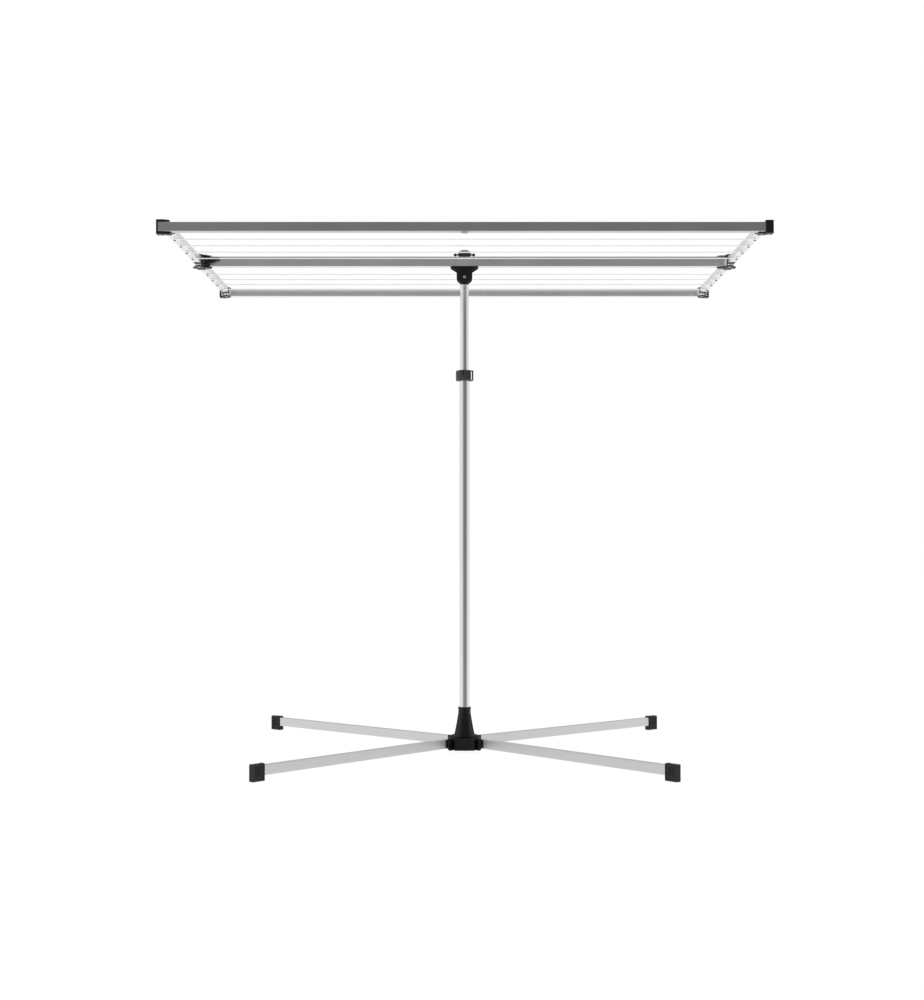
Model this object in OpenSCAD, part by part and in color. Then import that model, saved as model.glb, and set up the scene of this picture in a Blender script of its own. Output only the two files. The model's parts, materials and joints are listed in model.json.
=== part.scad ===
// Rotary clothesline: a flat rack of three long bars, eight lines and four side arms
// on a telescopic pole with a folding four-legged stand.
// Millimetres, +Z up. The origin is on the floor, under the middle of the pole.

/* [Rack] */
// Length of each long bar over its end brackets
bar_length = 1650; // [1450:10:1800]
// Distance between the middle bar's and an outer bar's centre lines
wing_reach = 560; // [540:5:640]
// Height and depth of the outer bars
bar_size = 25; // [24:1:28]
// Height of the middle bar
mid_bar_height = 30; // [28:1:32]
// Wall thickness of the bars
bar_wall = 1.6; // [1.2:0.1:2.4]
// Height of the outer bars' centre lines above the floor
rack_height = 1468; // [1466:1:1480]
// Width of a side arm
arm_width = 22; // [20:1:24]
// Height of a side arm
arm_height = 17.6; // [16:0.2:18.4]

/* [Lines] */
// Distance from the middle bar's centre line to the first line
line_first = 140; // [120:1:150]
// Distance between neighbouring lines
line_pitch = 98; // [90:1:100]
// Thickness of a line
line_dia = 3; // [2.5:0.1:3.2]

/* [Pole] */
// Outer diameter of the lower pole
lower_pole_dia = 30; // [30:0.5:31]
// Outer diameter of the upper pole
upper_pole_dia = 25.5; // [25:0.5:26]
// Wall thickness of both poles
pole_wall = 1.4; // [1.2:0.1:1.5]
// Height of the clamp collar's lower edge above the floor
collar_base = 1113; // [1050:1:1120]
// Height of the tilt bolt above the floor
tilt_height = 1425; // [1425:1:1428]

/* [Stand] */
// Distance from the pole's axis to the end of a foot
leg_reach = 847; // [700:1:900]
// Angle between a front leg and the front-to-back line
front_leg_angle = 41; // [39:1:45]
// Angle between a rear leg and the front-to-back line
rear_leg_angle = 49; // [45:1:51]
// Height of a leg tube
leg_height = 28; // [26:1:28]
// Width of a leg tube
leg_width = 15; // [14:0.5:15]
// Height of a foot
foot_height = 46; // [44:1:48]

/* [Hidden] */
$fn = 64;

// Colours
black = [0.09, 0.09, 0.095];
light_plastic = [0.80, 0.80, 0.80];
bar_grey = [0.50, 0.50, 0.51];
aluminium = [0.80, 0.80, 0.82];
steel = [0.72, 0.72, 0.74];
line_white = [0.93, 0.93, 0.93];

// Clearances: beside a moving part, round a running pin, round a loose one
gap = 0.3;
run = 0.05;
slack = 0.08;
over = 1;

// Rack levels and places
pin_r = 3.5;
pin_head = 0.8;
pin_x = bar_length / 2 - 25;
pin_offset = bar_size / 2 + arm_width / 2 + 0.5;
arm_span = wing_reach - 2 * pin_offset;
bar_bottom = rack_height - bar_size / 2;
arm_bottom = rack_height + bar_size / 2 - 0.5 - arm_height;
mid_bottom = rack_height - 9.3;
mid_top = mid_bottom + mid_bar_height;
corner_r = 0.8;
leg_corner_r = 2;
groove_depth = 1;

// End brackets
end_wall = 5;
tongue_r = 12;
plug_length = 30;
mid_plate = 3.4;
mid_end = pin_x - 7;
mid_wall = 4;
mid_plate_reach = 35;
mid_overhang = 21;
closed_cap = 20.5;
cap_skin = 2.5;
tongue_skin = 2.5;
left_reach = 34;
rear_reach = 31;
left_plate = 7;
right_plate = 5;
rear_plate = 3.5;

// Arm fittings
arm_wall = 1.5;
arm_solid_end = 20;
boss_r = 6.5;
post_r = 2;
post_head_r = 3.3;
post_head = 1.5;
eye_r = 4.4;
eye_height = 4;
eye_top = arm_bottom - 0.5;
eye_bottom = eye_top - eye_height;
post_bottom = eye_bottom - 0.6 - post_head;

// Head
tongue_dia = 35;
tongue_half = 14;
cheek = 4.5;
cheek_in = tongue_half + gap;
cheek_out = cheek_in + cheek;
fan_half = 42;
fan_edge = 3;
lobe_half = 23.7;
lobe_r = 17;
lobe_drop = 15.5;
saddle = 5;
bolt_r = 4;
stem_r = 9;
stem_groove_r = 7;
stem_bottom = 1345;
pole_top = 1404;
bush_flange = 2;
bush_bottom = 1340;
head_screw_z = 1387;
head_screw_r = 2;

// Knob and its stud
stud_r = 3;
knob_r = 20.5;
knob_bottom = mid_top + gap;
knob_base = 9;
lobe_x = 27.6;
stud_tip = tilt_height + tongue_dia / 2 + 0.8;

// Lock lever at the left end of the middle bar
lock_pin_r = 2;
lock_x = -(pin_x - 20);
lock_y = -(bar_size / 2 + 8.5);
lock_lug_r = 6.5;
lock_lug = 2.5;
lock_bottom = mid_bottom + 2;
lock_top = mid_top - 2;
lock_reach = 39;
sleeve = 2.5;

// Telescopic pole
lower_r = lower_pole_dia / 2;
upper_r = upper_pole_dia / 2;
lower_bore_r = lower_r - pole_wall;
upper_bore_r = upper_r - pole_wall;
lower_pole_bottom = 14;
upper_pole_bottom = 695;
guide_length = 10;
guide_spigot = 20;

// Clamp collar
collar_height = 32;
collar_r = 26;
collar_seat = 12;
collar_flat = 19.4;
clamp_pin_r = 1.2;
clamp_pin_x = 24.4;
clamp_pin_y = 6;
clamp_barrel_r = 2.4;
clamp_lug = 2.5;
lever_length = 30;

// Stand
hub_r = 48;
hub_bottom = 8;
hub_pad_r = 10;
hub_front = 70;
hub_half = 49.5;
hub_chamfer = 5;
front_socket = 96;
hub_top = 41;
socket_reach = 57;
socket_width = 25;
socket_top = 44;
leg_center = leg_height / 2 + 14;
hinge_at = 47;
slot_in = hinge_at - leg_height / 2 - 0.4;
slot_half = leg_width / 2 + gap;
slot_floor = leg_center - leg_height / 2 - gap;
leg_pin_r = 3;
knuckle_r = leg_height / 2 - 0.2;
leg_start = 60.5;
leg_wall = 1.5;
leg_plug = 25;
foot_length = 38;
foot_width = 19;
foot_wall = 4;
cone_top = 131;
cone_r_top = 18.6;
cone_r_base = 32;
LEG_AZIMUTH = [270 - front_leg_angle, 270 + front_leg_angle, 90 + rear_leg_angle, 90 - rear_leg_angle];

// ---------------------------------------------------------------- shared shapes

// Rectangle with round corners, centred
module rounded_rect(w, h, r) {
    square([w - 2 * r, h], center = true);
    square([w, h - 2 * r], center = true);
    for (x = [-1, 1], y = [-1, 1])
        translate([x * (w / 2 - r), y * (h / 2 - r)]) circle(r);
}

// Extrudes an outline drawn in Y and Z along +X
module along_x(length) {
    rotate([90, 0, 90]) linear_extrude(length) children();
}

// Extrudes an outline drawn in X and Z along Y, from -half to +half
module across_y(half) {
    rotate([90, 0, 0]) linear_extrude(2 * half, center = true) children();
}

// Long hollow bar between -half and +half; the chosen faces carry a slanted groove under a lip
module long_bar(half, height, bottom, grooves, lip, band) {
    translate([-half, 0, bottom + height / 2]) along_x(2 * half) difference() {
        rounded_rect(bar_size, height, corner_r);
        rounded_rect(bar_size - 2 * bar_wall - 2 * groove_depth, height - 2 * bar_wall, corner_r / 2);
        for (side = grooves) translate([side * bar_size / 2, height / 2 - lip]) polygon([
            [0, 0], [-side * groove_depth, -band], [side * over, -band], [side * over, 0]
        ]);
    }
}

// Pin with a head at each end, from one height to another
module headed_pin(bottom, top, r = pin_r) {
    translate([0, 0, bottom]) cylinder(r = r, h = top - bottom);
    translate([0, 0, bottom - pin_head]) cylinder(r = r + 1.5, h = pin_head);
    translate([0, 0, top]) cylinder(r = r + 1.5, h = pin_head);
}

// ---------------------------------------------------------------- stand

module at_leg(i) {
    rotate([0, 0, LEG_AZIMUTH[i]]) children();
}

module hub_block() {
    color(black) difference() {
        union() {
            cylinder(r = hub_pad_r, h = hub_bottom + 1);
            translate([0, 0, hub_bottom]) cylinder(r1 = hub_r - 2, r2 = hub_r, h = 2);
            translate([0, 0, hub_bottom + 2]) cylinder(r = hub_r, h = hub_top - hub_bottom - 3);
            translate([0, 0, hub_top - 1]) cylinder(r1 = hub_r, r2 = hub_r - 1, h = 1);
            translate([-30, -hub_front, hub_bottom]) cube([60, hub_front, hub_top - hub_bottom]);
            intersection() {
                for (i = [0:3]) at_leg(i) translate([0, -socket_width / 2, hub_bottom])
                    cube([i < 2 ? front_socket : socket_reach, socket_width, socket_top - hub_bottom]);
                across_y(2 * front_socket) polygon([
                    [-hub_half + hub_chamfer, hub_bottom - over], [hub_half - hub_chamfer, hub_bottom - over],
                    [hub_half, hub_bottom + hub_chamfer], [hub_half, socket_top + over],
                    [-hub_half, socket_top + over], [-hub_half, hub_bottom + hub_chamfer]
                ]);
            }
        }
        translate([0, 0, lower_pole_bottom]) cylinder(r = lower_r, h = socket_top);
        difference() {
            translate([0, 0, hub_bottom - over]) cylinder(r = 30, h = 3 + over);
            translate([0, 0, hub_bottom - over]) cylinder(r = 22, h = 4 + over);
        }
        for (i = [0:3]) at_leg(i) {
            translate([slot_in, -slot_half, slot_floor])
                cube([front_socket, 2 * slot_half, socket_top]);
            translate([hinge_at, 0, leg_center]) rotate([90, 0, 0])
                cylinder(r = leg_pin_r, h = socket_width + 2 * over, center = true);
        }
    }
}

module hub_cone() {
    rib_count = 8;
    color(black) difference() {
        union() {
            rotate_extrude() polygon([
                [lower_r, socket_top], [cone_r_base, socket_top], [cone_r_base - 0.6, socket_top + 3],
                [cone_r_base - 4.6, 63], [22, 92], [cone_r_top + 0.5, 110], [cone_r_top, 114],
                [cone_r_top, cone_top - 1], [cone_r_top - 1, cone_top], [lower_r, cone_top]
            ]);
            for (i = [0:rib_count - 1])
                rotate([0, 0, (i + 0.5) * 360 / rib_count]) across_y(1.2) polygon([
                    [lower_r + 0.5, socket_top], [cone_r_base + 0.2, socket_top], [cone_r_base - 3.4, 63],
                    [23, 92], [cone_r_top + 1.2, 112], [lower_r + 0.5, 118]
                ]);
        }
        translate([0, 0, lower_pole_bottom]) cylinder(r = lower_r, h = cone_top);
    }
}

module leg_pins() {
    color(steel) for (i = [0:3]) at_leg(i)
        translate([hinge_at, 0, leg_center]) rotate([90, 0, 0])
            cylinder(r = leg_pin_r, h = socket_width + 1, center = true);
}

module leg_tube(i) {
    color(aluminium) at_leg(i)
        translate([leg_start, 0, leg_center]) along_x(leg_reach - foot_wall - leg_start) difference() {
            rounded_rect(leg_width, leg_height, leg_corner_r);
            square([leg_width - 2 * leg_wall, leg_height - 2 * leg_wall], center = true);
        }
}

module knuckle(i) {
    color(black) at_leg(i) difference() {
        union() {
            translate([hinge_at, 0, leg_center]) rotate([90, 0, 0])
                cylinder(r = knuckle_r, h = leg_width, center = true);
            translate([hinge_at, -leg_width / 2, leg_center - knuckle_r])
                cube([leg_start - hinge_at, leg_width, 2 * knuckle_r]);
            translate([leg_start, -leg_width / 2 + leg_wall, leg_center - leg_height / 2 + leg_wall])
                cube([leg_plug, leg_width - 2 * leg_wall, leg_height - 2 * leg_wall]);
        }
        translate([hinge_at, 0, leg_center]) rotate([90, 0, 0])
            cylinder(r = leg_pin_r + run, h = leg_width + 2 * over, center = true);
    }
}

module foot(i) {
    color(black) at_leg(i) difference() {
        translate([leg_reach - foot_length, 0, foot_height / 2]) along_x(foot_length)
            rounded_rect(foot_width, foot_height, 3);
        translate([leg_reach - foot_length - over, 0, leg_center]) along_x(foot_length - foot_wall + over)
            rounded_rect(leg_width, leg_height, leg_corner_r);
        for (side = [-1, 1])
            translate([leg_reach - foot_length / 2, side * foot_width / 2, 7])
                cube([foot_length - 14, 2, 3], center = true);
    }
}

// ---------------------------------------------------------------- pole

module pole_lower() {
    color(aluminium) translate([0, 0, lower_pole_bottom]) difference() {
        cylinder(r = lower_r, h = collar_base + collar_seat - lower_pole_bottom);
        translate([0, 0, -over])
            cylinder(r = lower_bore_r, h = collar_base + collar_seat - lower_pole_bottom + 2 * over);
    }
}

module at_clamp_pin() {
    translate([clamp_pin_x, clamp_pin_y, collar_base]) children();
}

module collar_body() {
    color(black) difference() {
        union() {
            rotate_extrude() polygon([
                [upper_r + slack, collar_base + collar_seat], [lower_r, collar_base + collar_seat],
                [lower_r, collar_base], [collar_r - 1, collar_base], [collar_r, collar_base + 1],
                [collar_r, collar_base + collar_height - 4],
                [collar_r - 1.2, collar_base + collar_height - 2],
                [collar_r - 5, collar_base + collar_height - 0.6],
                [collar_r - 8, collar_base + collar_height],
                [upper_r + slack, collar_base + collar_height]
            ]);
            for (z = [0.5, collar_height - clamp_lug]) at_clamp_pin() translate([0, 0, z])
                cylinder(r = clamp_barrel_r, h = clamp_lug - 0.5);
        }
        translate([collar_flat, -collar_r - over, collar_base + clamp_lug])
            cube([collar_r, 2 * collar_r + 2 * over, collar_height - 2 * clamp_lug]);
        at_clamp_pin() translate([0, 0, -over]) cylinder(r = clamp_pin_r, h = collar_height + 2 * over);
        translate([-6, -collar_r - over, collar_base + collar_seat + 2])
            cube([3, collar_r, collar_height]);
    }
}

module collar_pin() {
    color(steel) at_clamp_pin() translate([0, 0, 1]) cylinder(r = clamp_pin_r, h = collar_height - 2);
}

module collar_lever() {
    lever_height = collar_height - 2 * clamp_lug - 2 * gap;
    color(black) at_clamp_pin() translate([0, 0, clamp_lug + gap]) difference() {
        union() {
            cylinder(r = clamp_barrel_r, h = lever_height);
            translate([-1.2, -lever_length, 0]) cube([2.6, lever_length, lever_height]);
            translate([0.4, -lever_length, 0]) cylinder(r = 1.9, h = lever_height);
        }
        translate([0, 0, -over]) cylinder(r = clamp_pin_r + run, h = lever_height + 2 * over);
    }
}

module pole_upper() {
    color(aluminium) difference() {
        translate([0, 0, upper_pole_bottom]) cylinder(r = upper_r, h = pole_top - upper_pole_bottom);
        translate([0, 0, upper_pole_bottom - over])
            cylinder(r = upper_bore_r, h = pole_top - upper_pole_bottom + 2 * over);
        translate([0, 0, head_screw_z]) rotate([90, 0, 0]) cylinder(r = head_screw_r, h = 2 * upper_r);
    }
}

module mast_guide() {
    color(black) difference() {
        union() {
            translate([0, 0, upper_pole_bottom - guide_length])
                cylinder(r = lower_bore_r - slack, h = guide_length);
            translate([0, 0, upper_pole_bottom - over]) cylinder(r = upper_bore_r, h = guide_spigot + over);
        }
        translate([0, 0, upper_pole_bottom - guide_length - over])
            cylinder(r = upper_bore_r - 3, h = guide_length + guide_spigot + 2 * over);
    }
}

// ---------------------------------------------------------------- head

module head_bush() {
    color(black) difference() {
        union() {
            translate([0, 0, bush_bottom]) cylinder(r = upper_bore_r, h = pole_top - bush_bottom);
            translate([0, 0, pole_top]) cylinder(r = upper_r, h = bush_flange);
        }
        translate([0, 0, bush_bottom - over])
            cylinder(r = stem_r + run, h = pole_top - bush_bottom + bush_flange + 2 * over);
        translate([0, 0, head_screw_z]) rotate([90, 0, 0]) cylinder(r = head_screw_r, h = 2 * upper_r);
    }
}

module head_screw() {
    color(steel) translate([0, 0, head_screw_z]) rotate([90, 0, 0]) {
        translate([0, 0, stem_groove_r + gap]) cylinder(r = head_screw_r, h = upper_r - stem_groove_r);
        translate([0, 0, upper_r]) cylinder(r1 = 3.6, r2 = 2.6, h = 1.6);
    }
}

module swivel_head() {
    neck_bottom = pole_top + bush_flange + gap;
    color(black) difference() {
        union() {
            translate([0, 0, stem_bottom]) cylinder(r = stem_r, h = tilt_height - stem_bottom);
            translate([0, 0, neck_bottom]) cylinder(r = upper_r, h = tilt_height - neck_bottom);
            translate([0, 0, tilt_height]) rotate([90, 0, 0])
                cylinder(d = tongue_dia, h = 2 * tongue_half, center = true);
        }
        translate([0, 0, head_screw_z - 3.2]) difference() {
            cylinder(r = stem_r + over, h = 6.4);
            translate([0, 0, -over]) cylinder(r = stem_groove_r, h = 6.4 + 2 * over);
        }
        translate([0, 0, tilt_height]) rotate([90, 0, 0])
            cylinder(r = bolt_r + run, h = 2 * tongue_half + 2 * over, center = true);
    }
}

// Outline of one cheek: a rounded lobe round the bolt and a flat fan under the bar
module cheek_outline() {
    low = tilt_height - lobe_drop;
    high = mid_bottom - 0.7;
    translate([0, (low + high) / 2]) rounded_rect(2 * lobe_half, high - low, lobe_r);
    polygon([
        [-fan_half, mid_bottom], [-fan_half, mid_bottom - fan_edge], [-lobe_half + 4, mid_bottom - 17],
        [lobe_half - 4, mid_bottom - 17], [fan_half, mid_bottom - fan_edge], [fan_half, mid_bottom]
    ]);
}

module tilt_bracket() {
    color(black) difference() {
        union() {
            for (side = [-1, 1]) translate([0, side * (cheek_in + cheek / 2), 0])
                across_y(cheek / 2) cheek_outline();
            translate([-lobe_half, -cheek_out, mid_bottom - saddle])
                cube([2 * lobe_half, 2 * cheek_out, saddle]);
        }
        translate([0, 0, tilt_height]) rotate([90, 0, 0])
            cylinder(r = bolt_r, h = 2 * cheek_out + 2 * over, center = true);
        translate([0, 0, mid_bottom - saddle - over]) cylinder(r = stud_r + slack, h = saddle + 2 * over);
    }
}

module tilt_bolt() {
    color(steel) translate([0, -cheek_out, tilt_height]) rotate([90, 0, 0]) {
        cylinder(r1 = 6, r2 = 4.4, h = 3.6);
        translate([0, 0, -2 * cheek_out - 6]) cylinder(r = bolt_r, h = 2 * cheek_out + 6);
    }
}

module tilt_nut() {
    color(steel) translate([0, cheek_out, tilt_height]) rotate([-90, 0, 0]) difference() {
        union() {
            cylinder(r = 8.5, h = 1.2);
            translate([0, 0, 1.2]) cylinder(r = 7, h = 5, $fn = 6);
        }
        translate([0, 0, -over]) cylinder(r = bolt_r, h = 9);
    }
}

// ---------------------------------------------------------------- middle bar

module mid_bar() {
    color(bar_grey) difference() {
        long_bar(mid_end, mid_bar_height, mid_bottom, [-1, 1], 3, 3.5);
        translate([0, 0, mid_bottom - over]) cylinder(r = stud_r + slack, h = mid_bar_height + 2 * over);
    }
}

// Outline of a bracket plate at the right end of the middle bar
module mid_plate_outline() {
    inner = pin_x - mid_plate_reach;
    outer = pin_x + mid_overhang;
    polygon([
        [inner, -4], [inner + 8, -bar_size / 2], [outer - 4, -bar_size / 2], [outer, -bar_size / 2 + 4],
        [outer, bar_size / 2 - 4], [outer - 4, bar_size / 2], [inner + 8, bar_size / 2], [inner, 4]
    ]);
    for (side = [-1, 1]) translate([pin_x, side * pin_offset]) circle(tongue_r);
    translate([pin_x - tongue_r, -pin_offset]) square([2 * tongue_r, 2 * pin_offset]);
}

module mid_bracket() {
    plug_depth = bar_size - 2 * bar_wall - 2 * groove_depth;
    difference() {
        union() {
            translate([0, 0, mid_bottom - mid_plate]) linear_extrude(mid_plate) mid_plate_outline();
            translate([0, 0, mid_top]) linear_extrude(mid_plate) mid_plate_outline();
            translate([mid_end, -bar_size / 2, mid_bottom]) cube([mid_wall, bar_size, mid_bar_height]);
            translate([mid_end - plug_length, 0, (mid_bottom + mid_top) / 2]) along_x(plug_length + over)
                rounded_rect(plug_depth, mid_bar_height - 2 * bar_wall, corner_r / 2);
        }
        for (side = [-1, 1]) translate([pin_x, side * pin_offset, mid_bottom - mid_plate - over])
            cylinder(r = pin_r, h = mid_bar_height + 2 * mid_plate + 2 * over);
    }
}

module mid_bracket_right() {
    color(black) mid_bracket();
}

module mid_bracket_left() {
    sleeve_from = -(pin_x - arm_width / 2 - 1);
    sleeve_to = lock_x + 10;
    color(black) {
        difference() {
            union() {
                mirror([1, 0, 0]) mid_bracket();
                translate([sleeve_from, -bar_size / 2 - sleeve, mid_bottom - mid_plate])
                    cube([sleeve_to - sleeve_from, sleeve, mid_bar_height + mid_plate]);
                across_y(10) polygon([
                    [-pin_x - mid_overhang, mid_top + 2], [-pin_x - mid_overhang, mid_top + 9.5],
                    [-pin_x - 12, mid_top + 9.5], [-pin_x + mid_plate_reach - 1, mid_top + 3],
                    [-pin_x + mid_plate_reach - 1, mid_top + 2]
                ]);
                translate([sleeve_from, -bar_size / 2 - sleeve, mid_top])
                    cube([sleeve_to - sleeve_from, bar_size / 2 + sleeve, mid_plate - 1]);
                for (z = [lock_bottom, lock_top - lock_lug]) {
                    translate([lock_x, lock_y, z]) cylinder(r = lock_lug_r, h = lock_lug);
                    translate([lock_x - lock_lug_r, lock_y, z])
                        cube([2 * lock_lug_r, -lock_y - bar_size / 2, lock_lug]);
                }
            }
            translate([lock_x, lock_y, lock_bottom - over])
                cylinder(r = lock_pin_r, h = lock_top - lock_bottom + 2 * over);
        }
    }
}

module rack_pins() {
    color(steel) {
        for (x = [-1, 1], y = [-1, 1]) translate([x * pin_x, y * pin_offset, 0])
            headed_pin(mid_bottom - mid_plate, mid_top + mid_plate);
        translate([lock_x, lock_y, lock_bottom]) cylinder(r = lock_pin_r, h = lock_top - lock_bottom);
    }
}

module lock_lever() {
    bottom = lock_bottom + lock_lug + gap;
    height = lock_top - lock_bottom - 2 * lock_lug - 2 * gap;
    color(black) translate([lock_x, lock_y, bottom]) difference() {
        union() {
            cylinder(r = 5.5, h = height);
            translate([0, -1.5, 0]) across_y(4) polygon([
                [0, 0], [7, 0], [lock_reach - 4, height - 7], [lock_reach - 4, height], [0, height]
            ]);
            translate([lock_reach - 4, -1, height - 8]) cylinder(r = 5, h = 8);
        }
        translate([0, 0, -over]) cylinder(r = lock_pin_r + run, h = height + 2 * over);
    }
}

module knob_stud() {
    color(steel) translate([0, 0, stud_tip]) cylinder(r = stud_r, h = knob_bottom + knob_base - 1 - stud_tip);
}

module top_knob() {
    color(black) translate([0, 0, knob_bottom]) difference() {
        union() {
            rotate_extrude() polygon([
                [0, 0], [13, 0], [knob_r - 3.6, 1.5], [knob_r - 1, 4.4], [knob_r, 7], [knob_r, knob_base],
                [0, knob_base]
            ]);
            for (side = [-1, 1]) translate([side * lobe_x, 0, 6.6]) sphere(r = 4.6);
            translate([-lobe_x, -2.5, 4.8]) cube([2 * lobe_x, 5, 3.6]);
        }
        translate([0, 0, -over]) cylinder(r = stud_r, h = knob_base);
    }
}

module knob_cap() {
    color(light_plastic) translate([0, 0, knob_bottom + knob_base]) rotate_extrude() polygon([
        [0, 0], [19.4, 0], [20, 1.4], [19.2, 4.2], [16.4, 7.8], [12, 10.6], [7, 12.2], [3, 12.6], [0, 12.6]
    ]);
}

// ---------------------------------------------------------------- wings

// Puts a shape that is drawn for the front wing in the rear wing
module in_wing(rear) {
    mirror([0, rear ? 1 : 0, 0]) children();
}

module wing_bar(rear) {
    color(bar_grey) in_wing(rear) translate([0, -wing_reach, 0])
        long_bar(bar_length / 2 - end_wall, bar_size, bar_bottom, [1], 1.2, 8);
}

// Outline of an outer bracket's plate at the right end, the bar's centre line on Y = 0
module corner_plate_outline(reach, tail, slope) {
    outer = bar_length / 2;
    polygon([
        [outer - reach, slope - bar_size / 2], [outer - reach + tail, -bar_size / 2], [outer, -bar_size / 2],
        [outer, bar_size / 2], [outer - reach + tail, bar_size / 2], [outer - reach, bar_size / 2 - slope]
    ]);
}

// Thin tongue of an outer bracket that holds the arm's pin
module tongue_outline() {
    translate([pin_x, pin_offset]) circle(tongue_r);
    translate([pin_x - tongue_r, 0]) square([2 * tongue_r, pin_offset]);
}

// Bracket at the right end of the front bar; a closed one also wraps the bar's outer face
module corner_bracket(plate, reach, closed) {
    outer = bar_length / 2;
    plug = bar_size - 2 * bar_wall - 2 * groove_depth;
    total = bar_size + 2 * plate;
    tail = closed ? 3 : 14;
    slope = closed ? 3 : 8.5;
    translate([0, -wing_reach, 0]) difference() {
        union() {
            translate([0, 0, bar_bottom - plate]) linear_extrude(plate)
                corner_plate_outline(reach, tail, slope);
            translate([0, 0, bar_bottom + bar_size]) linear_extrude(plate)
                corner_plate_outline(reach, tail, slope);
            translate([0, 0, bar_bottom - tongue_skin]) linear_extrude(tongue_skin) tongue_outline();
            translate([0, 0, bar_bottom + bar_size]) linear_extrude(tongue_skin) tongue_outline();
            translate([outer - end_wall, -bar_size / 2, bar_bottom - plate])
                cube([end_wall, bar_size, total]);
            translate([outer - end_wall - plug_length, 0, rack_height]) along_x(plug_length + over)
                rounded_rect(plug, bar_size - 2 * bar_wall, corner_r / 2);
            if (closed)
                translate([outer - closed_cap, -bar_size / 2 - cap_skin, bar_bottom - plate])
                    cube([closed_cap, cap_skin, total]);
        }
        translate([pin_x, pin_offset, bar_bottom - plate - over]) cylinder(r = pin_r, h = total + 2 * over);
    }
}

module wing_pins(rear) {
    color(steel) in_wing(rear) for (side = [-1, 1]) translate([side * pin_x, pin_offset - wing_reach, 0])
        headed_pin(bar_bottom - tongue_skin, bar_bottom + bar_size + tongue_skin);
}

module rest_button() {
    color(light_plastic) translate([0, -wing_reach, bar_bottom]) mirror([0, 0, 1])
        rotate_extrude() polygon([[0, 0], [10.5, 0], [10.5, 1.2], [8.5, 2.8], [5, 3.6], [0, 4]]);
}

// Distance of line k from the middle bar's centre line
function line_y(k) = line_first + (k - 1) * line_pitch;

module side_arm(rear, side) {
    color(aluminium) in_wing(rear) translate([side * pin_x, -pin_offset, 0]) difference() {
        union() {
            translate([-arm_width / 2, -arm_span, arm_bottom]) cube([arm_width, arm_span, arm_height]);
            for (y = [0, -arm_span]) translate([0, y, arm_bottom]) cylinder(d = arm_width, h = arm_height);
            translate([0, 0, mid_bottom + gap]) cylinder(r = boss_r, h = mid_bar_height - 2 * gap);
            translate([0, -arm_span, bar_bottom + gap]) cylinder(r = boss_r, h = bar_size - 2 * gap);
        }
        translate([0, 0, mid_bottom - over]) cylinder(r = pin_r + run, h = mid_bar_height + 2 * over);
        translate([0, -arm_span, bar_bottom - over]) cylinder(r = pin_r + run, h = bar_size + 2 * over);
        translate([-arm_width / 2 + arm_wall, -arm_span + arm_solid_end, arm_bottom + arm_wall])
            cube([arm_width - 2 * arm_wall, arm_span - 2 * arm_solid_end, arm_height - 2 * arm_wall]);
        for (k = [1:4]) translate([0, pin_offset - line_y(k), arm_bottom - over])
            cylinder(r = post_r, h = arm_wall + 2 * over);
    }
}

module line_posts(rear, side) {
    color(black) in_wing(rear) for (k = [1:4]) translate([side * pin_x, -line_y(k), 0]) {
        translate([0, 0, post_bottom]) cylinder(r1 = post_head_r - 0.6, r2 = post_head_r, h = post_head);
        translate([0, 0, post_bottom + post_head])
            cylinder(r = post_r, h = arm_bottom + arm_wall - post_bottom - post_head);
        translate([0, 0, arm_bottom + arm_wall]) cylinder(r = post_r + 1, h = 1);
    }
}

module line(rear, k) {
    color(line_white) in_wing(rear) translate([0, -line_y(k), 0]) difference() {
        union() {
            translate([-pin_x + post_r + 0.6, 0, eye_bottom + eye_height / 2]) rotate([0, 90, 0])
                cylinder(d = line_dia, h = 2 * (pin_x - post_r - 0.6), $fn = 24);
            for (side = [-1, 1]) translate([side * pin_x, 0, eye_bottom])
                cylinder(r = eye_r, h = eye_height);
        }
        for (side = [-1, 1]) translate([side * pin_x, 0, eye_bottom - over])
            cylinder(r = post_r + run, h = eye_height + 2 * over);
    }
}

// ---------------------------------------------------------------- nodes

hub_block();
hub_cone();
leg_pins();
pole_lower();
collar_body();
collar_pin();
collar_lever();
leg_tube(0);  // leg_front_left
leg_tube(1);  // leg_front_right
leg_tube(2);  // leg_rear_left
leg_tube(3);  // leg_rear_right
knuckle(0);  // knuckle_front_left
knuckle(1);  // knuckle_front_right
knuckle(2);  // knuckle_rear_left
knuckle(3);  // knuckle_rear_right
foot(0);  // foot_front_left
foot(1);  // foot_front_right
foot(2);  // foot_rear_left
foot(3);  // foot_rear_right
pole_upper();
mast_guide();
head_bush();
head_screw();
swivel_head();
tilt_bracket();
tilt_bolt();
tilt_nut();
mid_bar();
mid_bracket_left();
mid_bracket_right();
rack_pins();
lock_lever();
top_knob();
knob_cap();
knob_stud();
wing_bar(false);  // front_bar
color(black) mirror([1, 0, 0]) corner_bracket(left_plate, left_reach, false);  // front_bracket_left
color(black) corner_bracket(right_plate, closed_cap, true);  // front_bracket_right
wing_pins(false);  // front_pins
rest_button();
side_arm(false, -1);  // front_arm_left
side_arm(false, 1);  // front_arm_right
line_posts(false, -1);  // front_posts_left
line_posts(false, 1);  // front_posts_right
line(false, 1);  // front_line_1
line(false, 2);  // front_line_2
line(false, 3);  // front_line_3
line(false, 4);  // front_line_4
wing_bar(true);  // rear_bar
color(black) in_wing(true) mirror([1, 0, 0]) corner_bracket(rear_plate, rear_reach, false);  // rear_bracket_left
color(black) in_wing(true) corner_bracket(rear_plate, rear_reach, false);  // rear_bracket_right
wing_pins(true);  // rear_pins
side_arm(true, -1);  // rear_arm_left
side_arm(true, 1);  // rear_arm_right
line_posts(true, -1);  // rear_posts_left
line_posts(true, 1);  // rear_posts_right
line(true, 1);  // rear_line_1
line(true, 2);  // rear_line_2
line(true, 3);  // rear_line_3
line(true, 4);  // rear_line_4
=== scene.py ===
import json
import math

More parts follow.
